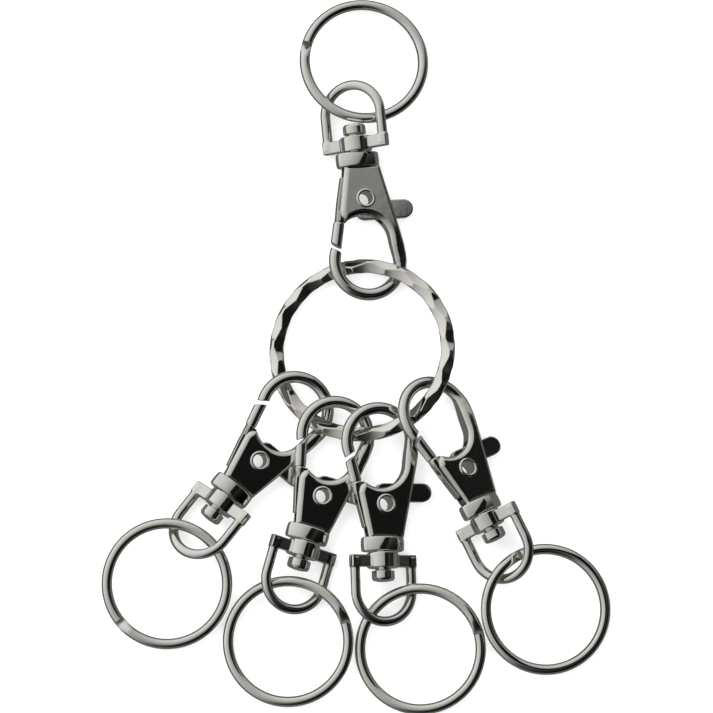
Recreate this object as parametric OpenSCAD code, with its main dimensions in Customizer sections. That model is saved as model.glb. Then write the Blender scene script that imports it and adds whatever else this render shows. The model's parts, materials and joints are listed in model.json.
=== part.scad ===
// Key holder laid flat on a table. One large wave-cut split ring carries five swivel trigger clasps,
// and the swivel bail of each clasp carries a small split ring for keys.
// Millimetres, +Z up. The origin is under the middle of the whole object, at table height.

/* [Key rings] */
// Outside diameter of a small split ring
key_ring_d = 25; // [24.6:0.1:25]
// Width of its wire, across the band
key_wire_w = 2; // [1.8:0.05:2]
// Height of one of its two coils
key_coil_h = 0.98; // [0.9:0.02:0.98]

/* [Main ring] */
// Outside diameter of the large wave-cut split ring
main_ring_d = 36; // [35.8:0.1:36]
// Width of its wire, across the band
main_wire_w = 2.8; // [2.5:0.1:2.8]
// Height of one of its two coils
main_coil_h = 1.05; // [0.95:0.05:1.05]
// Number of facets cut round each coil
facet_count = 16; // [14:1:18]
// Depth of a facet at its middle
facet_depth = 0.38; // [0.3:0.02:0.42]

/* [Clasp housing] */
// Thickness over the front and back plates
body_t = 3.4; // [3.3:0.05:3.4]
// Thickness of one plate
plate_t = 0.75; // [0.7:0.05:0.75]
// Width of the collar that holds the swivel pin
collar_w = 8.3; // [8:0.1:8.3]
// Thickness of the collar
collar_t = 5.4; // [5:0.1:5.4]
// Diameter of the hook's wire
hook_wire_d = 2.14; // [2:0.02:2.14]
// Mean radius of the hook's bend
hook_r = 6.43; // [6.35:0.02:6.43]

/* [Lever] */
// Thickness of the lever between the plates
lever_t = 1.8; // [1.7:0.02:1.8]
// Thickness of the thumb tab
tab_t = 1.5; // [1.3:0.1:1.5]
// Width of the thumb tab
tab_w = 3.6; // [3.4:0.1:3.6]
// Reach of the thumb tab from the clasp's axis
tab_reach = 10; // [9.6:0.1:10]
// Diameter of the gate finger
finger_d = 1.88; // [1.8:0.02:1.88]

/* [Rivet] */
// Bore through the tubular rivet
rivet_bore_d = 2.4; // [2:0.05:2.4]
// Outside diameter of its tube
rivet_d = 3; // [2.9:0.05:3]

/* [Swivel] */
// Diameter of the swivel pin
pin_d = 3; // [2.9:0.05:3]
// Diameter of the swivel pin's head
pin_head_d = 4.4; // [4:0.1:4.4]
// Width over the legs of the bail
bail_w = 13.6; // [13.4:0.1:13.6]
// Diameter of the bail's wire
bail_wire_d = 1.9; // [1.8:0.02:1.9]
// Diameter of the bail's boss
boss_d = 6; // [5.6:0.1:6]

/* [Hidden] */
$fn = 96;
overlap = 0.05;          // how far joined shapes reach into each other

// Split rings
coil_gap = 0.04;         // slit between the two coils
key_jog_angle = 16;      // sector in which the wire climbs from one coil to the other
main_jog_angle = 13;
jog_narrow = 0.84;       // the climbing wire against the coil's half width
jog_edge = 0.4;          // flat on its top and bottom, against the coil's half width
facet_slope = 45;        // a facet faces up and out by this angle

// Clasp: the frame is on the swivel axis at the height of the rivet, +Y towards the bail,
// the gate on -X and the thumb tab on +X
rivet_x = 0.5;
plate_gap = body_t - 2 * plate_t;
plate_top = 6.4;
jaw = [-0.3, -8.1];      // centre of the arch that closes the jaw above
jaw_r = 5;
jaw_from = 128;          // the arch runs between these angles
jaw_to = 6;
shoulder = [[-3.0, plate_top], [-4.65, -2.2], [-4.3, -3.5]];
hook_c = [0, -12.1];
spine_slope = 0.205;     // the spine leans in by this much for each millimetre upwards
slot_y = [-4.9, 3.6];    // opening in the right-hand wall for the thumb tab
wall_t = 1;
web_x = [-1.6, 3.4];
web_y = 4.9;
hook_wire_r = hook_wire_d / 2;
hook_start = 212;        // angle swept by the bend before the gate's arc cuts it off
gate_r = 10.85;          // the finger ends on this arc about the rivet
gate_gap = 0.75;         // gap between the finger and the hook's end

// Collar, swivel pin and bail
collar_y = [6.3, 9.1];
collar_chamfer = 1.3;
pin_seat_y = 6.8;
head_y = [12.8, 14.8];
head_chamfer = 0.3;
bail_y = [9.3, 12.2];
bail_leg_end = 16.6;
bail_leg_x = (bail_w - bail_wire_d) / 2;
swivel_clearance = 0.06;

// Lever and its spring
lever_clearance = 0.05;
lever_flank = [[-3.75, 4.5], [-4.95, -0.5], [-5.4, -3.0], [-5.5, -4.0], [-3.6, -4.4], [-2.9, -3.2],
               [-1.2, -2.0], [1.5, 2.2], [-0.8, 3.0], [-1.9, 4.5]];
lever_hub_r = 2.6;
finger_from = [-4.5, -2.6];
finger_to = [-6.15, -9.6];
tab_y = -2.25;
pocket_r = 2.35;
pocket_top = 0.25;
spring_r = 2.05;
spring_wire_d = 0.34;
spring_turns = 1.75;
spring_pitch = 0.4;
spring_steps = 14;       // steps to a turn
spring_sides = 6;
spring_low = -0.7;
spring_leg = 4.6;
spring_toe = 1.7;

// Rivet
flare_d = 3.7;
flare_h = 0.25;
funnel_d = 2.9;

// Lay-out on the table. Each clasp has its place, its tilt [pitch, roll], its heading, which way up
// it lies, and the turn of its bail. Each small ring has its place, its tilt and where its split is.
CLASPS = ["top", "left", "mid_left", "mid_right", "right"];
middle = [0.02, -0.02, 0.19];
main_place = [1.15, 0.35, 3.78];
main_tilt = [-3.6, -8.1];
main_split = 108;
clasp_place = [[1.0, 29.85, 3.47], [-19.15, -20.85, 3.54], [-7.25, -27.95, 3.86], [4.8, -29.7, 4.34],
               [20.3, -23.3, 4.83]];
clasp_tilt = [[2.6, 13.8], [-2.4, 14.7], [1.0, 13.4], [2.6, 17.3], [2.5, 26.3]];
clasp_heading = [6.3, -38.5, -15.4, 2.4, 27.2];
clasp_flip = [0, 180, 180, 180, 180];
bail_turn = [-38.9, 40.2, -9.6, -7.1, 56.2];
ring_place = [[1.5, 57.3, 2.66], [-36.1, -44.75, 2.72], [-12.95, -55.8, 2.27], [12.25, -57.25, 2.27],
              [36.15, -49.7, 2.8]];
ring_tilt = [[-5.5, 5.5], [7.9, -1.3], [4.9, -3.1], [5.4, -1.9], [4.9, 6.9]];
ring_split = [170, 225, 25, 22, 123];

steel = "silver";
bright = "gainsboro";
dark_steel = "dimgray";

// ---- split rings ----------------------------------------------------------------------------

function crown_r(w, h) = (w * w / 4 + h * h) / (2 * h);
function crown(w, h, x) = sqrt(max(0, pow(crown_r(w, h), 2) - x * x)) - (crown_r(w, h) - h);
function mix(a, b, s) = a + (b - a) * s;

// Half-round section of the upper coil: flat below, domed above
module coil_section(w, h) {
    intersection() {
        translate([0, coil_gap / 2 + h - crown_r(w, h)]) circle(crown_r(w, h));
        translate([-w, coil_gap / 2]) square([2 * w, 2 * h]);
    }
}

// Skin over a list of equal rings of points, closed at both ends
module skin(rings) {
    n = len(rings[0]);
    last = len(rings) - 1;
    points = [for (ring = rings) for (p = ring) p];
    sides = [for (k = [0 : last - 1]) for (i = [0 : n - 1]) let (j = (i + 1) % n)
        [k * n + i, k * n + j, (k + 1) * n + j, (k + 1) * n + i]];
    ends = [[for (i = [n - 1 : -1 : 0]) i], [for (i = [0 : n - 1]) last * n + i]];
    polyhedron(points, concat(sides, ends), convexity = 6);
}

// Straight piece of wire that climbs from the lower coil to the upper one
module jog(mean_r, w, h, angle) {
    length = 2 * mean_r * sin(angle / 2) + w / 4;
    a = jog_narrow * w / 2;
    b = jog_edge * w / 2;
    c = 0.42 * h;
    translate([mean_r * cos(angle / 4), 0, 0])
        multmatrix([[1, 0, 0, 0], [0, 1, 0, 0], [0, (h + coil_gap) / length, 1, 0], [0, 0, 0, 1]])
            rotate([90, 0, 0]) linear_extrude(length, center = true)
                polygon([[a, 0], [b, c], [-b, c], [-a, 0], [-b, -c], [b, -c]]);
}

module split_ring(d, w, h, jog_angle) {
    mean_r = (d - w) / 2;
    for (side = [0, 1]) rotate([0, 0, jog_angle / 2])
        rotate_extrude(angle = 360 - jog_angle) translate([mean_r, 0]) mirror([0, side, 0]) coil_section(w, h);
    jog(mean_r, w, h, jog_angle);
}

module key_ring() {
    color(steel) split_ring(key_ring_d, key_wire_w, key_coil_h, key_jog_angle);
}

module main_ring() {
    mean_r = (main_ring_d - main_wire_w) / 2;
    r = crown_r(main_wire_w, main_coil_h);
    length = main_ring_d;
    color(steel) difference() {
        split_ring(main_ring_d, main_wire_w, main_coil_h, main_jog_angle);
        for (side = [1, -1]) for (k = [0 : facet_count - 1]) rotate([0, 0, (k + 0.5) * 360 / facet_count])
            translate([mean_r, 0, side * (coil_gap / 2 + main_coil_h - r)]) rotate([0, -side * facet_slope, 0])
                translate([r - facet_depth, -length / 4, -r]) cube([r, length / 2, 2 * r]);
    }
}

// ---- clasp ----------------------------------------------------------------------------------

function spine_x(y) = hook_r + hook_wire_r - 0.06 - spine_slope * (y - hook_c[1] - 1.53);

module plate_outline() {
    arch = [for (i = [0 : 16]) let (a = mix(jaw_from, jaw_to, i / 16)) jaw + jaw_r * [cos(a), sin(a)]];
    end_y = arch[16][1];
    polygon(concat(shoulder, arch, [[spine_x(end_y), end_y], [spine_x(plate_top), plate_top]]));
}

// Cross-wise wedge that thins the spine from the housing down to the hook's wire
module spine_wedge() {
    low = hook_wire_r;
    high = body_t / 2;
    rotate([90, 0, 90]) linear_extrude(3 * hook_r, center = true)
        polygon([[plate_top, high], [slot_y[0], high], [hook_c[1], low], [hook_c[1], -low],
                 [slot_y[0], -high], [plate_top, -high]]);
}

module spine() {
    y_low = -9.6;
    y_high = slot_y[0];
    intersection() {
        linear_extrude(body_t, center = true) intersection() {
            union() {
                plate_outline();
                polygon([[4.2, -7.4], [5.05, y_low], [spine_x(y_low), y_low], [spine_x(-7.4), -7.4]]);
            }
            translate([0, y_low]) square([3 * hook_r, y_high - y_low]);
        }
        spine_wedge();
    }
    // round wire from the spine down to the bend
    translate([hook_r, hook_c[1], 0]) rotate([-90, 0, atan2(hook_r - 5.95, 3.4)])
        cylinder(h = 3.6, r1 = hook_wire_r, r2 = hook_wire_r + 0.12);
}

module hook_bend() {
    difference() {
        translate([hook_c[0], hook_c[1], 0]) rotate([0, 0, -hook_start]) rotate_extrude(angle = hook_start)
            translate([hook_r, 0]) circle(hook_wire_r);
        translate([rivet_x, 0, 0]) cylinder(h = body_t, r = gate_r + gate_gap, center = true);
    }
}

module collar() {
    w = collar_w / 2;
    t = collar_t / 2;
    c = collar_chamfer;
    translate([0, collar_y[1], 0]) rotate([90, 0, 0]) linear_extrude(collar_y[1] - collar_y[0])
        polygon([[w, t - c], [w - c, t], [c - w, t], [-w, t - c], [-w, c - t], [c - w, -t], [w - c, -t],
                 [w, c - t]]);
}

module hook_body() {
    color(steel) difference() {
        union() {
            for (side = [1, -1]) translate([0, 0, side * (body_t - plate_t) / 2])
                linear_extrude(plate_t, center = true) plate_outline();
            linear_extrude(plate_gap + 2 * overlap, center = true) {
                translate([web_x[0], web_y]) square([web_x[1] - web_x[0], plate_top - web_y]);
                polygon([[spine_x(plate_top) - wall_t, plate_top], [spine_x(plate_top), plate_top],
                         [spine_x(slot_y[1]), slot_y[1]], [spine_x(slot_y[1]) - wall_t, slot_y[1]]]);
            }
            collar();
            spine();
            hook_bend();
        }
        translate([rivet_x, 0, 0]) cylinder(h = 2 * body_t, d = rivet_d, center = true);
        translate([0, pin_seat_y, 0]) rotate([-90, 0, 0]) cylinder(h = 2 * body_t, d = pin_d);
    }
}

module finger() {
    along = finger_to - finger_from;
    intersection() {
        translate([finger_from[0], finger_from[1], 0]) rotate([90, 0, atan2(along[1], along[0]) + 90])
            cylinder(h = norm(along), d = finger_d);
        translate([rivet_x, 0, 0]) cylinder(h = 2 * finger_d, r = gate_r, center = true);
    }
}

module gate_lever() {
    tab_r = tab_w / 2;
    color(bright) difference() {
        union() {
            linear_extrude(lever_t, center = true) {
                polygon(lever_flank);
                translate([rivet_x, 0]) circle(lever_hub_r);
            }
            linear_extrude(tab_t, center = true) {
                translate([rivet_x, tab_y - tab_r]) square([tab_reach - tab_r - rivet_x, tab_w]);
                translate([tab_reach - tab_r, tab_y]) circle(tab_r);
            }
            finger();
        }
        translate([rivet_x, 0, 0]) {
            cylinder(h = 2 * lever_t, r = rivet_d / 2 + lever_clearance, center = true);
            translate([0, 0, -lever_t]) cylinder(h = lever_t + pocket_top, r = pocket_r);
            // room for the spring's fixed leg, and for its toe on the lever
            translate([0, 0, -lever_t]) cube([lever_hub_r + 1, lever_hub_r + 1, lever_t + pocket_top]);
            translate([-spring_r - 0.3, -spring_toe - 0.3, -lever_t])
                cube([0.6, spring_toe + 0.3, lever_t + pocket_top]);
        }
    }
}

module lever_rivet() {
    tube = rivet_d / 2;
    bore = rivet_bore_d / 2;
    face = body_t / 2;
    end = face + flare_h;
    half = [[bore, face - 0.2], [funnel_d / 2, end], [flare_d / 2 - 0.1, end], [flare_d / 2, face], [tube, face]];
    color(bright) translate([rivet_x, 0, 0]) rotate_extrude()
        polygon(concat(half, [for (i = [len(half) - 1 : -1 : 0]) [half[i][0], -half[i][1]]]));
}

// Torsion spring round the rivet: its leg bears on the web, and its toe on the lever
module lever_spring() {
    turns = floor(spring_turns * spring_steps);
    coil = [for (k = [0 : turns]) let (a = -360 * k / spring_steps)
        [rivet_x + spring_r * cos(a), spring_r * sin(a), spring_low + spring_pitch * k / spring_steps]];
    end = coil[turns];
    path = concat([[coil[0][0], spring_leg, coil[0][2]], [coil[0][0], spring_leg / 2, coil[0][2]]], coil);
    r = spring_wire_d / 2;
    count = len(path);
    color(dark_steel) skin([for (k = [0 : count - 1])
        let (d = path[min(count - 1, k + 1)] - path[max(0, k - 1)], t = d / norm(d),
             side = cross(t, [0, 0, 1]) / norm(cross(t, [0, 0, 1])), up = cross(side, t))
        [for (i = [0 : spring_sides - 1]) let (a = -360 * i / spring_sides)
            path[k] + r * (cos(a) * side + sin(a) * up)]]);
}

module swivel_pin() {
    color(bright) rotate([-90, 0, 0]) rotate_extrude() polygon([[0, pin_seat_y], [pin_d / 2, pin_seat_y],
        [pin_d / 2, head_y[0]], [pin_head_d / 2, head_y[0]], [pin_head_d / 2, head_y[1] - head_chamfer],
        [pin_head_d / 2 - head_chamfer, head_y[1]], [0, head_y[1]]]);
}

module swivel_bail() {
    h = bail_y[1] - bail_y[0];
    wire_r = bail_wire_d / 2;
    color(steel) difference() {
        union() {
            translate([-bail_w / 2, bail_y[0], -wire_r]) cube([bail_w, h, bail_wire_d]);
            translate([0, bail_y[0], 0]) rotate([-90, 0, 0]) cylinder(h = h, d = boss_d);
            for (side = [1, -1]) translate([side * bail_leg_x, bail_y[1] - h / 2, 0]) rotate([-90, 0, 0])
                cylinder(h = bail_leg_end - bail_y[1] + h / 2, r = wire_r);
            translate([0, bail_leg_end, 0]) rotate_extrude(angle = 180) translate([bail_leg_x, 0]) circle(wire_r);
        }
        translate([0, bail_y[0] - h, 0]) rotate([-90, 0, 0])
            cylinder(h = 3 * h, r = pin_d / 2 + swivel_clearance);
    }
}

// ---- places ---------------------------------------------------------------------------------

module at_clasp(i) {
    translate(middle + clasp_place[i]) rotate([clasp_tilt[i][0] + clasp_flip[i], clasp_tilt[i][1], clasp_heading[i]])
        children();
}

module at_ring(place, tilt, split) {
    translate(middle + place) rotate([tilt[0], tilt[1], 0]) rotate([0, 0, split]) children();
}

at_ring(main_place, main_tilt, main_split) main_ring();

for (i = [0 : len(CLASPS) - 1]) {
    at_clasp(i) hook_body();
    at_clasp(i) gate_lever();
    at_clasp(i) lever_rivet();
    at_clasp(i) lever_spring();
    at_clasp(i) swivel_pin();
    at_clasp(i) rotate([0, bail_turn[i], 0]) swivel_bail();
    at_ring(ring_place[i], ring_tilt[i], ring_split[i])
        key_ring();
}
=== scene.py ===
"""Key holder lying on a table: one large wave-cut split ring, swivel trigger clasps and a small split ring on each.
Each cast or turned piece is a smooth solid given by a distance function in its clasp's own frame, in millimetres,
and each split ring is a swept half-round wire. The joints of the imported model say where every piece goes."""

import json
import math

import bpy
import numpy as np
from mathutils import Matrix, Vector


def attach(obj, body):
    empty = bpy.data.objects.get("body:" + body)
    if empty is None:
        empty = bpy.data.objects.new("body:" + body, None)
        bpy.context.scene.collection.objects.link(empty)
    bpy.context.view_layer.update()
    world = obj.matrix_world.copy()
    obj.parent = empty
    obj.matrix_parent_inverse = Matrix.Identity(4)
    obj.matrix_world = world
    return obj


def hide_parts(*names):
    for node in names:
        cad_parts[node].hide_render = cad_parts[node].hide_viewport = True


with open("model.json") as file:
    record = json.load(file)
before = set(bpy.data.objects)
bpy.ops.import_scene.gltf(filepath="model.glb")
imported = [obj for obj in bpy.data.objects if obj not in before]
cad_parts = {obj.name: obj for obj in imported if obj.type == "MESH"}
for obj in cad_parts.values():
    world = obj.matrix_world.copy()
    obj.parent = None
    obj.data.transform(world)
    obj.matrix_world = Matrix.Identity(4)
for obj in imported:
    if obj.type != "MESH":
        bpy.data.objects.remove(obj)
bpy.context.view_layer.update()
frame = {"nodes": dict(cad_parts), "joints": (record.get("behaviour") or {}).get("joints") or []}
MM = 0.001
CLASPS = ["top", "left", "mid_left", "mid_right", "right"]
BAIL_TURN = {"top": -38.9, "left": 40.2, "mid_left": -9.6, "mid_right": -7.1, "right": 56.2}
SPLIT = {"main": 108, "top": 170, "left": 225, "mid_left": 25, "mid_right": 22, "right": 123}
JOINT = {j["name"]: j for j in frame["joints"]}

# Clasp, in mm: the frame is on the swivel axis level with the rivet, +Y to the bail, gate on -X, thumb tab on +X
RIVET = (0.5, 0.0)
HOOK_C = (0.0, -12.1)
HOOK_R = 6.46
WIRE_R = 1.16
HALF_T = 1.7
CAVITY = 0.95
GATE_R = 10.85
COIL_GAP = 0.04

# Meshing, in mm: grid spacings, the step for slopes, and how often the points are evened out and settled
FINE_GRID, QUICK_GRID, TURNED_GRID, RIVET_GRID = 0.13, 0.22, 0.12, 0.07
GRADIENT_STEP = 0.012
SETTLE_ROUNDS, SMOOTH_ROUNDS = 6, 3
DOME_POINTS, FLAT_POINTS = 26, 8


# ---- distance functions -----------------------------------------------------------------------------

def length(*a):
    return np.sqrt(sum(v * v for v in a))


def smin(a, b, k):
    h = np.clip(0.5 + 0.5 * (b - a) / k, 0, 1)
    return b + (a - b) * h - k * h * (1 - h)


def smax(a, b, k):
    return -smin(-a, -b, k)


def poly(x, y, pts):
    """Signed distance to a polygon."""
    d = np.full(np.shape(x), 1e9)
    inside = np.zeros(np.shape(x), bool)
    for (ax, ay), (bx, by) in zip(pts, pts[1:] + pts[:1]):
        ex, ey = bx - ax, by - ay
        t = np.clip(((x - ax) * ex + (y - ay) * ey) / (ex * ex + ey * ey), 0, 1)
        d = np.minimum(d, (x - ax - t * ex) ** 2 + (y - ay - t * ey) ** 2)
        if ey:
            inside ^= ((ay > y) != (by > y)) & (x < ex * (y - ay) / ey + ax)
    return np.where(inside, -1, 1) * np.sqrt(d)


def slab(d, z, half, r):
    """A flat outline at distance d made half thick each way, with edges rounded by r."""
    a, b = d + r, np.abs(z) - half + r
    return np.minimum(np.maximum(a, b), 0) + length(np.maximum(a, 0), np.maximum(b, 0)) - r


def box2(x, y, x0, x1, y0, y1):
    a, b = np.abs(x - (x0 + x1) / 2) - (x1 - x0) / 2, np.abs(y - (y0 + y1) / 2) - (y1 - y0) / 2
    return np.minimum(np.maximum(a, b), 0) + length(np.maximum(a, 0), np.maximum(b, 0))


def rod(x, y, z, a, b, ra, rb):
    """Round rod from a to b in the clasp's plane."""
    ex, ey = b[0] - a[0], b[1] - a[1]
    t = np.clip(((x - a[0]) * ex + (y - a[1]) * ey) / (ex * ex + ey * ey), 0, 1)
    return length(x - a[0] - t * ex, y - a[1] - t * ey, z) - (ra + (rb - ra) * t)


def arc(c, r, start, stop, n):
    return [(c[0] + r * math.cos(math.radians(start + (stop - start) * i / n)),
             c[1] + r * math.sin(math.radians(start + (stop - start) * i / n))) for i in range(n + 1)]


# outer edge of the body from the hook up to the collar
SPINE = [(7.2, -13.9), (7.52, -12.4), (7.54, -11.2), (7.34, -9.4), (6.86, -6.9), (3.96, 6.4)]
BODY = ([(-3.0, 6.4), (-4.65, -2.2), (-4.42, -3.2), (-4.0, -3.75)] + arc((-0.3, -8.1), 5.0, 128, 6, 20)
        + [(4.9, -9.6), (5.22, -11.2), (5.6, -13.9)] + SPINE)
# the same without its right and top edges, which have no wide rim
RIMMED = BODY[:-len(SPINE)] + [(14.0, -13.9), (14.0, 12.0), (-2.16, 12.0)]


def hook_body(x, y, z):
    flat = poly(x, y, BODY)
    # the face steps down in a soft rim along its edge, and thins towards the hook
    down = np.clip((-4.5 - y) / 9.4, 0, 1)
    half = HALF_T - 1.2 * down ** 3
    rim = np.clip(1 + (poly(x, y, RIMMED) + 0.1) / 0.95, 0, 1)
    thin = np.clip(1 + (flat + 0.1) / 0.5, 0, 1)
    half = half - np.maximum(0.42 * rim * rim, 0.3 * thin * thin) * (1 - 0.8 * down * down)
    f = slab(flat, z, half, 0.22)
    cavity = np.minimum(box2(x, y, -12, 2.95, -4.9, 4.7), box2(x, y, -12, 14, -4.9, 3.5))
    cavity = np.minimum(cavity, box2(x, y, -12, -1.7, -4.9, 6.3))
    f = smax(f, -slab(cavity, z, CAVITY + 0.04, 0.05), 0.12)
    oval = z * WIRE_R / 1.07
    ring = length(length(x - HOOK_C[0], y - HOOK_C[1]) - HOOK_R, oval) - WIRE_R
    ring = smax(ring, GATE_R + 0.75 - length(x - RIVET[0], y), 0.16)
    spine = rod(x, y, oval, (HOOK_R, -12.1), (5.98, -8.7), WIRE_R, 1.02)
    f = smin(f, smin(ring, spine, 0.25), 0.55)
    # barrel-faced collar, narrower at its ends
    barrel = smax(np.abs(z) - (2.68 - x * x / 10.4), np.abs(x) - 4.13, 0.5)
    collar = slab(barrel + 0.12 * ((y - 7.7) / 1.4) ** 2, y - 7.7, 1.4, 0.3)
    f = smin(f, collar, 0.22)
    f = np.where(y > 6.6, smax(f, 1.5 - length(x, z), 0.1), f)
    return smax(f, 1.52 - length(x - RIVET[0], y), 0.12)


LEVER = [(-3.75, 4.5), (-4.95, -0.5), (-5.4, -3.0), (-5.5, -4.0), (-3.6, -4.4), (-2.9, -3.2), (-1.2, -2.0), (1.5, 2.2),
         (-0.8, 3.0), (-1.9, 4.5)]


def gate_lever(x, y, z):
    flat = smin(poly(x, y, LEVER), length(x - RIVET[0], y) - 2.6, 0.3)
    f = slab(flat, z, 0.9, 0.16)
    bar = box2(x, y, 0.5, 8.2, -2.25, -2.25) - 1.8
    tab = slab(bar, z, 0.75, 0.2)
    f = smin(f, tab, 0.3)
    f = smin(f, rod(x, y, z, (-4.5, -2.6), (-5.06, -5.0), 0.9, 0.92), 0.3)
    finger = smax(rod(x, y, z * 1.12, (-4.9, -4.3), (-6.12, -9.6), 1.1, 1.14), y + 0.24 * (x + 4.9) + 4.35, 0.2)
    f = smin(f, smax(finger, length(x - RIVET[0], y) - GATE_R, 0.14), 0.06)
    f = smax(f, 1.55 - length(x - RIVET[0], y), 0.08)
    pocket = np.minimum(length(x - RIVET[0], y) - 2.35, box2(x, y, 0.5, 5, 0, 5))
    pocket = np.minimum(pocket, box2(x, y, -1.85, -1.25, -2, 0))
    return smax(f, np.minimum(0.28 - z, -pocket), 0.08)


def turned(profile, r):
    """Solid of revolution about the local axis from half a section, as (radius, height)."""
    return lambda radius, h: poly(radius, h, profile) - r


RIVET_PROFILE = [(1.3, 1.2), (1.4, 1.8), (1.6, 1.9), (1.82, 1.78), (1.47, 1.72), (1.45, 0), (1.47, -1.72),
                 (1.82, -1.78), (1.6, -1.9), (1.4, -1.8), (1.3, -1.2)]
PIN_PROFILE = [(-1, 6.86), (1.42, 6.86), (1.42, 12.88), (2.1, 12.88), (2.12, 14.2), (1.9, 14.55), (1.2, 14.71),
               (-1, 14.72)]


def lever_rivet(x, y, z):
    return turned(RIVET_PROFILE, 0.06)(length(x - RIVET[0], y), z)


def swivel_pin(x, y, z):
    return turned(PIN_PROFILE, 0.08)(length(x, z), y)


def swivel_bail(x, y, z):
    bar = slab(box2(x, y, -6.74, 6.74, 9.7, 12.0), z, 0.93, 0.26)
    boss = slab(length(x, z) - 3.0, y - 10.75, 1.45, 0.2)
    leg = np.where(y < 16.6, length(np.abs(x) - 5.85, z), length(length(x, y - 16.6) - 5.85, z)) - 0.95
    leg = smax(leg, 10.4 - y, 0.1)
    f = smin(smin(bar, boss, 0.35), leg, 0.4)
    return np.where(y < 13, smax(f, 1.57 - length(x, z), 0.08), f)


# ---- meshes -----------------------------------------------------------------------------------------

def net(f, lo, hi, h):
    """Quad mesh of where f crosses zero, with its points moved onto the surface, and the normals there."""
    lo, hi = np.array(lo, float), np.array(hi, float)
    n = np.ceil((hi - lo) / h).astype(int) + 1
    axes = [lo[i] + h * np.arange(n[i]) for i in range(3)]
    v = f(*np.meshgrid(*axes, indexing="ij"))
    inside = v < 0
    total, count = np.zeros((*(n - 1), 3)), np.zeros(n - 1)
    edges = []
    for ax in range(3):
        cut = [slice(None)] * 3
        near, far = list(cut), list(cut)
        near[ax], far[ax] = slice(0, -1), slice(1, None)
        a, b = v[tuple(near)], v[tuple(far)]
        idx = np.argwhere((a < 0) != (b < 0))
        va, vb = a[tuple(idx.T)], b[tuple(idx.T)]
        p = idx.astype(float)
        p[:, ax] += va / (va - vb)
        u, w = [(1, 2), (2, 0), (0, 1)][ax]
        ok = (idx[:, u] > 0) & (idx[:, w] > 0) & (idx[:, u] < n[u] - 1) & (idx[:, w] < n[w] - 1)
        idx, p, va = idx[ok], p[ok], va[ok]
        ring = []
        for du, dw in ((1, 1), (0, 1), (0, 0), (1, 0)):
            c = idx.copy()
            c[:, u] -= du
            c[:, w] -= dw
            np.add.at(total, tuple(c.T), p)
            np.add.at(count, tuple(c.T), 1)
            ring.append(c)
        edges.append((ring, va < 0))
    number = np.full(n - 1, -1)
    used = np.argwhere(count > 0)
    number[tuple(used.T)] = np.arange(len(used))
    pts = lo + h * total[tuple(used.T)] / count[tuple(used.T)][:, None]
    quads = []
    for ring, outward in edges:
        q = np.stack([number[tuple(c.T)] for c in ring], 1)
        quads.append(np.where(outward[:, None], q, q[:, ::-1]))
    quads = np.concatenate(quads)

    def gradient(p, e=GRADIENT_STEP):
        g = np.stack([f(*(p + e * np.eye(3)[i]).T) - f(*(p - e * np.eye(3)[i]).T) for i in range(3)], 1) / (2 * e)
        size = np.linalg.norm(g, axis=1)
        return g / np.maximum(size, 1e-6)[:, None], size

    for k in range(SETTLE_ROUNDS):
        if k < SMOOTH_ROUNDS:
            near, deg = np.zeros_like(pts), np.zeros(len(pts))
            for i in range(4):
                np.add.at(near, quads[:, i], pts[quads[:, (i + 1) % 4]] + pts[quads[:, i - 1]])
                np.add.at(deg, quads[:, i], 2)
            pts = 0.5 * pts + 0.5 * near / np.maximum(deg, 1)[:, None]
        g, size = gradient(pts)
        step = f(*pts.T) / np.maximum(size, 0.3)
        pts = pts - np.clip(step, -h, h)[:, None] * g
    g, _ = gradient(pts)
    return pts, quads, g


def make_mesh(name, pts, faces, normals=None, crevice=None):
    mesh = bpy.data.meshes.new(name)
    mesh.from_pydata((np.asarray(pts) * MM).tolist(), [], [list(map(int, q)) for q in faces])
    mesh.validate()
    mesh.update()
    mesh.shade_smooth()
    # crevice attribute: how much painted shade each point gets, none unless given
    shade = mesh.attributes.new("crevice", "FLOAT", "POINT")
    shade.data.foreach_set("value", (np.zeros(len(pts)) if crevice is None else crevice).astype(np.float32))
    if normals is not None:
        mesh.normals_split_custom_set_from_vertices(normals.tolist())
    return mesh


def solid(name, f, lo, hi, h, reach=0.9):
    pts, quads, g = net(f, lo, hi, h)
    # how shut in each point is, stored as the crevice attribute that the materials darken as painted shade
    open_air = f(*(pts + reach * g).T) / reach
    return make_mesh(name, pts, quads, g, np.clip(1 - open_air, 0, 1))


def crown(w, h):
    return (w * w / 4 + h * h) / (2 * h)


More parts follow.
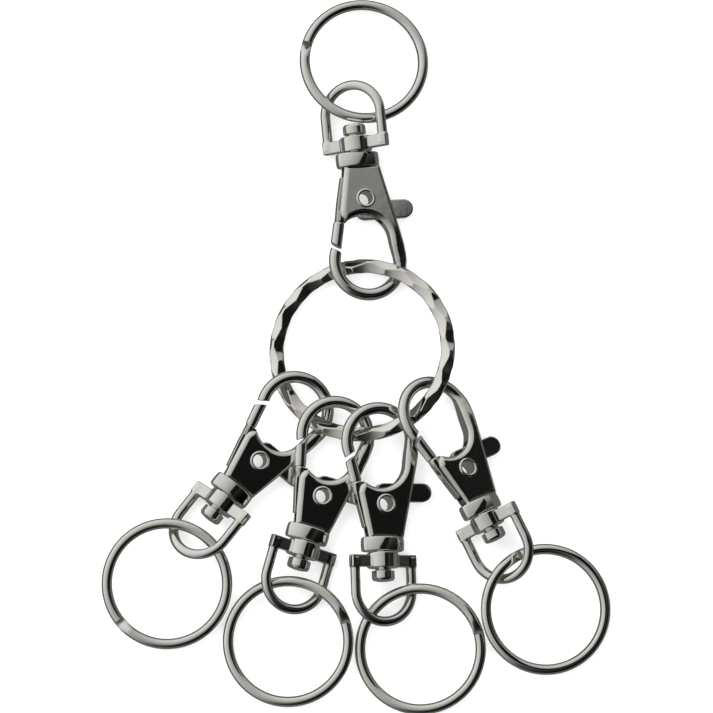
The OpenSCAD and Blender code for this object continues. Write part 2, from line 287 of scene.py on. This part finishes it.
def ring_sections(d, w, h, jog, steps, facets=0, depth=0.0, slope=45, scoop=14.0):
    """Half-round wire wound twice round, with the step from the lower coil to the upper one in the jog."""
    mean, rc = (d - w) / 2, crown(w, h)
    edge = math.asin(w / 2 / rc)
    # half-round section from one edge over the crown to the other, then back along the flat side
    phi = np.linspace(math.pi / 2 - edge, math.pi / 2 + edge, DOME_POINTS + 1)
    turn = np.linspace(jog / 2 - 360, 360 - jog / 2, steps + 1)
    rows = []
    for t in turn:
        s = np.clip((t + jog / 2) / jog, 0, 1)
        s = s * s * (3 - 2 * s)
        radius = np.full(DOME_POINTS + 1, rc)
        up = COIL_GAP / 2 + h - rc
        if facets:
            # scoops hollowed across the wire, by turns on its outer and its inner slope
            cs, sn = math.cos(math.radians(slope)), math.sin(math.radians(slope))
            for side, start in ((1, 180 / facets), (-1, 0)):
                off = (t - start) % (360 / facets)
                off = math.radians(min(off, 360 / facets - off))
                hollow = (mean * math.sin(off)) ** 2 / (2 * scoop)
                room = rc - depth + hollow + side * mean * cs * (1 - math.cos(off))
                lean = side * np.cos(phi) * math.cos(off) * cs + np.sin(phi) * sn
                radius = smin(radius, np.where(lean > 0.05, room / np.maximum(lean, 0.05), 9), 0.03)
        x, z = radius * np.cos(phi), radius * np.sin(phi) + up - COIL_GAP / 2
        z = np.maximum(z, 0)
        flat_x = np.linspace(x[-1], x[0], FLAT_POINTS + 2)[1:-1]
        g = COIL_GAP / 2
        # upper coil: dome above, flat below; lower coil: flat above, dome below
        top = (g + z) * s - g * (1 - s)
        bottom = g * s - (g + np.interp(flat_x, x[::-1], z[::-1])) * (1 - s)
        px = np.concatenate([x, flat_x])
        pz = np.concatenate([top, bottom])
        a = math.radians(t)
        rows.append(np.stack([(mean + px) * math.cos(a), (mean + px) * math.sin(a), pz], 1))
    return rows


def ring_mesh(name, d, w, h, jog, steps, **cut):
    """Sweeps the two coils as one wire, with its cut ends closed."""
    rows = ring_sections(d, w, h, jog, steps, **cut)
    m = len(rows[0])
    pts = np.concatenate(rows)
    faces = []
    for i in range(len(rows) - 1):
        for j in range(m):
            k = (j + 1) % m
            faces.append((i * m + j, (i + 1) * m + j, (i + 1) * m + k, i * m + k))
    ends = [len(pts), len(pts) + 1]
    pts = np.concatenate([pts, [rows[0].mean(0)], [rows[-1].mean(0)]])
    last = (len(rows) - 1) * m
    for j in range(m):
        k = (j + 1) % m
        faces.append((ends[0], j, k))
        faces.append((ends[1], last + k, last + j))
    mesh = make_mesh(name, pts, faces)
    # painted shade in the slit between the coils
    shade = np.clip(1 - np.abs(pts[:, 2]) / 0.22, 0, 1)
    mesh.attributes["crevice"].data.foreach_set("value", shade.astype(np.float32))
    mesh.set_sharp_from_angle(angle=math.radians(34))
    return mesh


# ---- materials --------------------------------------------------------------------------------------

def plated(name, tint, rough, ripple, scratch=0.35, painted_shade=0.75):
    """Polished nickel plate: soft casting ripple, fine scratches, faint haze, painted shade darkening the base colour
    in the crevices, and rougher metal there.
    """
    mat = bpy.data.materials.new(name)
    mat.use_nodes = True
    nt = mat.node_tree
    n, link = nt.nodes, nt.links
    n.clear()
    out, bsdf = n.new("ShaderNodeOutputMaterial"), n.new("ShaderNodeBsdfPrincipled")
    link.new(bsdf.outputs[0], out.inputs[0])
    bsdf.inputs["Metallic"].default_value = 1.0
    where = n.new("ShaderNodeTexCoord")

    def noise(scale, detail, roughness=0.5, stretch=None):
        t = n.new("ShaderNodeTexNoise")
        t.inputs["Scale"].default_value = scale
        t.inputs["Detail"].default_value = detail
        t.inputs["Roughness"].default_value = roughness
        if stretch:
            m = n.new("ShaderNodeMapping")
            m.inputs["Scale"].default_value = stretch
            m.inputs["Rotation"].default_value = (0.3, 0.2, 0.7)
            link.new(where.outputs["Object"], m.inputs[0])
            link.new(m.outputs[0], t.inputs["Vector"])
        else:
            link.new(where.outputs["Object"], t.inputs["Vector"])
        return t.outputs["Fac"]

    def spread(value, a, b, c, d):
        m = n.new("ShaderNodeMapRange")
        for k, v in zip(("From Min", "From Max", "To Min", "To Max"), (a, b, c, d)):
            m.inputs[k].default_value = v
        link.new(value, m.inputs["Value"])
        return m.outputs["Result"]

    def blend(fac, a, b):
        m = n.new("ShaderNodeMix")
        m.data_type = "RGBA"
        for socket, v in ((m.inputs[0], fac), (m.inputs[6], a), (m.inputs[7], b)):
            if isinstance(v, tuple):
                socket.default_value = (*v, 1)
            else:
                link.new(v, socket)
        return m.outputs[2]

    crevice = n.new("ShaderNodeAttribute")
    crevice.attribute_name = "crevice"
    # painted shade: where the crevice attribute is high, the base colour darkens towards 0.16 of the tint
    dark = spread(crevice.outputs["Fac"], 0.3, 1.0, 0.0, painted_shade)
    haze = noise(420, 3)
    warm = tuple(c * k for c, k in zip(tint, (1.0, 0.965, 0.9)))
    colour = blend(spread(haze, 0.4, 0.7, 0.0, 1.0), tint, warm)
    colour = blend(dark, colour, tuple(c * 0.16 for c in tint))
    link.new(colour, bsdf.inputs["Base Color"])
    fine = noise(900, 4, 0.6, (1.0, 14.0, 1.0))
    add = n.new("ShaderNodeMath")
    add.operation = "ADD"
    link.new(spread(fine, 0.5, 0.75, rough, rough + 0.05), add.inputs[0])
    link.new(spread(crevice.outputs["Fac"], 0.2, 1.0, 0.0, 0.3), add.inputs[1])
    link.new(add.outputs[0], bsdf.inputs["Roughness"])
    wave = n.new("ShaderNodeBump")
    wave.inputs["Strength"].default_value = ripple
    wave.inputs["Distance"].default_value = 0.00006
    link.new(noise(330, 2), wave.inputs["Height"])
    lines = n.new("ShaderNodeBump")
    lines.inputs["Strength"].default_value = scratch
    lines.inputs["Distance"].default_value = 0.0000025
    link.new(noise(2600, 3, 0.6, (1.0, 30.0, 1.0)), lines.inputs["Height"])
    link.new(wave.outputs[0], lines.inputs["Normal"])
    link.new(lines.outputs[0], bsdf.inputs["Normal"])
    return mat


NICKEL = (0.80, 0.81, 0.785)
CAST = plated("cast_nickel", NICKEL, 0.06, 0.3)
LEVER_METAL = plated("lever_nickel", NICKEL, 0.07, 0.25)
WIRE = plated("ring_nickel", (0.81, 0.805, 0.775), 0.055, 0.12)
MAIN_WIRE = plated("cut_ring_nickel", (0.83, 0.825, 0.79), 0.05, 0.08)
TURNED = plated("turned_nickel", (0.80, 0.79, 0.77), 0.09, 0.1, scratch=0.6)
SPRING = plated("spring_steel", (0.45, 0.45, 0.46), 0.22, 0.1, scratch=0.6)

# ---- pieces -----------------------------------------------------------------------------------------


def place(name, mesh, material, matrix, body, slot, *nodes):
    mesh = mesh.copy()
    mesh.transform(matrix)
    mesh.materials.append(material)
    o = bpy.data.objects.new(name, mesh)
    bpy.context.scene.collection.objects.link(o)
    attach(o, body)
    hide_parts(*nodes)
    return o


def ring_matrix(joint_pos, axis, split):
    a, b = -math.asin(axis[1]), math.atan2(axis[0], axis[2])
    return (Matrix.Translation(Vector(joint_pos)) @ Matrix.Rotation(b, 4, "Y") @ Matrix.Rotation(a, 4, "X")
            @ Matrix.Rotation(math.radians(split), 4, "Z"))


fine = FINE_GRID
hook_mesh = solid("hook_body", hook_body, (-8.6, -20.4, -3.2), (8.6, 9.8, 3.2), fine)
lever_mesh = solid("gate_lever", gate_lever, (-8.0, -11.6, -1.5), (10.9, 5.4, 1.5), fine * 0.9)
rivet_mesh = solid("lever_rivet", lever_rivet, (-1.7, -2.2, -2.3), (2.7, 2.2, 2.3), RIVET_GRID, 0.3)
pin_mesh = solid("swivel_pin", swivel_pin, (-2.6, 6.3, -2.6), (2.6, 15.3, 2.6), TURNED_GRID)
bail_mesh = solid("swivel_bail", swivel_bail, (-7.5, 8.8, -3.4), (7.5, 24.1, 3.4), fine)
small_mesh = ring_mesh("key_ring", 25, 2, 0.98, 16, 480)
main_mesh = ring_mesh("main_ring", 36, 2.8, 1.05, 13, 1120, facets=16, depth=0.47, slope=60, scoop=10)

for c in CLASPS:
    swivel, lever, turn = JOINT[c + "_bail_swivel"], JOINT[c + "_lever_open"], JOINT[c + "_key_ring_turn"]
    up, along = Vector(lever["axis"]).normalized(), Vector(swivel["axis"]).normalized()
    across = along.cross(up)
    origin = Vector(swivel["pos_m"]) - along * 12 * MM
    at = Matrix((across, along, up)).transposed().to_4x4()
    at.translation = origin
    bail_at = at @ Matrix.Rotation(math.radians(BAIL_TURN[c]), 4, "Y")
    place(c + "_clasp_casting", hook_mesh, CAST, at, c + "_clasp", "hook_bodies", c + "_hook_body")
    place(c + "_trigger", lever_mesh, LEVER_METAL, at, c + "_lever", "gate_levers", c + "_gate_lever")
    place(c + "_tube_rivet", rivet_mesh, TURNED, at, c + "_clasp", "rivets", c + "_lever_rivet")
    place(c + "_headed_pin", pin_mesh, TURNED, at, c + "_clasp", "swivel_pins", c + "_swivel_pin")
    place(c + "_bail_casting", bail_mesh, CAST, bail_at, c + "_bail", "bails", c + "_swivel_bail")
    place(c + "_split_ring", small_mesh, WIRE, ring_matrix(turn["pos_m"], turn["axis"], SPLIT[c]),
          c + "_key_ring", "key_rings", c + "_key_ring")
    spring = frame["nodes"][c + "_lever_spring"]
    spring.data.materials.clear()
    spring.data.materials.append(SPRING)

ring_joint = JOINT["top_clasp_round_ring"]
place("main_split_ring", main_mesh, MAIN_WIRE, ring_matrix(ring_joint["pos_m"], ring_joint["axis"], SPLIT["main"]),
      "main_ring", "main_ring", "main_ring")

# ---- studio -----------------------------------------------------------------------------------------


def card(name, size, where, turn, glossy_only=True):
    mesh = bpy.data.meshes.new(name)
    x, y = size[0] / 2, size[1] / 2
    mesh.from_pydata([(-x, -y, 0), (x, -y, 0), (x, y, 0), (-x, y, 0)], [], [(0, 1, 2, 3)])
    o = bpy.data.objects.new(name, mesh)
    bpy.context.scene.collection.objects.link(o)
    o.location, o.rotation_euler = where, turn
    if glossy_only:
        o.visible_camera = o.visible_shadow = o.visible_diffuse = False
    return o


def plain(name, colour, roughness):
    mat = bpy.data.materials.new(name)
    mat.use_nodes = True
    b = mat.node_tree.nodes["Principled BSDF"]
    b.inputs["Base Color"].default_value = (*colour, 1)
    b.inputs["Roughness"].default_value = roughness
    return mat


PAPER_GLOW = 0.55


def pale_floor(mirrored):
    """Matt white paper. Polished metal sees it dimmer, as it would beyond the light tent."""
    mat = plain("pale_floor", (0.95, 0.95, 0.95), 0.9)
    nt = mat.node_tree
    far, glow = nt.nodes.new("ShaderNodeEmission"), nt.nodes.new("ShaderNodeEmission")
    mix, lit = nt.nodes.new("ShaderNodeMixShader"), nt.nodes.new("ShaderNodeMixShader")
    ray = nt.nodes.new("ShaderNodeLightPath")
    glow.inputs["Color"].default_value = (1, 1, 1, 1)
    lit.inputs[0].default_value = PAPER_GLOW
    far.inputs["Color"].default_value = (mirrored, mirrored, mirrored * 0.98, 1)
    nt.links.new(ray.outputs["Is Glossy Ray"], mix.inputs[0])
    nt.links.new(nt.nodes["Principled BSDF"].outputs[0], lit.inputs[1])
    nt.links.new(glow.outputs[0], lit.inputs[2])
    nt.links.new(lit.outputs[0], mix.inputs[1])
    nt.links.new(far.outputs[0], mix.inputs[2])
    nt.links.new(mix.outputs[0], nt.nodes["Material Output"].inputs[0])
    return mat


floor = card("floor", (6, 6), (0, 0, 0), (0, 0, 0), glossy_only=False)
floor.data.materials.append(pale_floor(0.14))
black = plain("black_flag", (0.001, 0.001, 0.001), 1.0)
flag = card("flag", (0.56, 0.13), (0.262, 0.088, 0.3), (0, 0, math.radians(49)))
flag.data.materials.append(black)

world = bpy.data.worlds.new("studio")
bpy.context.scene.world = world
world.use_nodes = True
wn, wl = world.node_tree.nodes, world.node_tree.links
wn.clear()
w_out, w_mix = wn.new("ShaderNodeOutputWorld"), wn.new("ShaderNodeMixShader")
w_bg, w_plain = wn.new("ShaderNodeBackground"), wn.new("ShaderNodeBackground")
path, coord, split = wn.new("ShaderNodeLightPath"), wn.new("ShaderNodeTexCoord"), wn.new("ShaderNodeSeparateXYZ")
wl.new(coord.outputs["Generated"], split.inputs[0])


def world_math(op, a, b):
    m = wn.new("ShaderNodeMath")
    m.operation = op
    for socket, v in zip(m.inputs, (a, b)):
        if isinstance(v, (int, float)):
            socket.default_value = v
        else:
            wl.new(v, socket)
    return m.outputs[0]


# brightest to the left and the back, dark to the right and the front, as in a small tent beside a window
to_left, to_back = world_math("MULTIPLY", split.outputs[0], -0.75), world_math("MULTIPLY", split.outputs[1], 0.65)
side = world_math("ADD", to_left, to_back)
ramp = wn.new("ShaderNodeValToRGB")
ramp.color_ramp.interpolation = "B_SPLINE"
stops = [(0.0, 0.002), (0.3, 0.004), (0.41, 0.36), (0.52, 0.44), (0.64, 0.58), (0.78, 0.7), (1.0, 0.9)]
ramp.color_ramp.elements[0].position, ramp.color_ramp.elements[1].position = stops[0][0], stops[-1][0]
for p, v in stops[1:-1]:
    ramp.color_ramp.elements.new(p)
for e, (p, v) in zip(ramp.color_ramp.elements, stops):
    e.color = (v, v, v, 1)
wl.new(world_math("ADD", world_math("MULTIPLY", side, 0.5), 0.5), ramp.inputs[0])
wl.new(ramp.outputs[0], w_bg.inputs[0])
w_bg.inputs[1].default_value = 1.0
w_plain.inputs[0].default_value = (0.96, 0.96, 0.96, 1)
w_plain.inputs[1].default_value = 1.0
wl.new(path.outputs["Is Camera Ray"], w_mix.inputs[0])
wl.new(w_bg.outputs[0], w_mix.inputs[1])
wl.new(w_plain.outputs[0], w_mix.inputs[2])
wl.new(w_mix.outputs[0], w_out.inputs[0])


def panel(name, size, where, power):
    light = bpy.data.lights.new(name, "AREA")
    light.shape, light.size, light.size_y, light.energy = "RECTANGLE", size[0], size[1], power
    o = bpy.data.objects.new(name, light)
    bpy.context.scene.collection.objects.link(o)
    o.location = where
    o.rotation_euler = Vector(where).to_track_quat("Z", "Y").to_euler()
    o.visible_glossy = False


panel("window", (1.2, 1.0), (-0.5, 0.4, 0.9), 22.0)
panel("back", (1.2, 1.2), (0.4, -0.4, 1.1), 16.0)

# ---- camera -----------------------------------------------------------------------------------------
ELEVATION, DISTANCE, FIELD = 80, 1.2, 713 / 5.2 * MM
cam = bpy.data.cameras.new("camera")
cam.sensor_width = 36
cam.lens = cam.sensor_width * DISTANCE / FIELD
camera = bpy.data.objects.new("camera", cam)
bpy.context.scene.collection.objects.link(camera)
back = Vector((0, -math.cos(math.radians(ELEVATION)), math.sin(math.radians(ELEVATION))))
AIM = Vector((0.0001, -0.0005, 0.0015))
camera.location = AIM + back * DISTANCE
camera.rotation_mode = "QUATERNION"
camera.rotation_quaternion = (-back).to_track_quat("-Z", "Y")
cam.clip_start, cam.clip_end = 0.01, 20
bpy.context.scene.camera = camera
bpy.context.scene.view_settings.view_transform = "Standard"
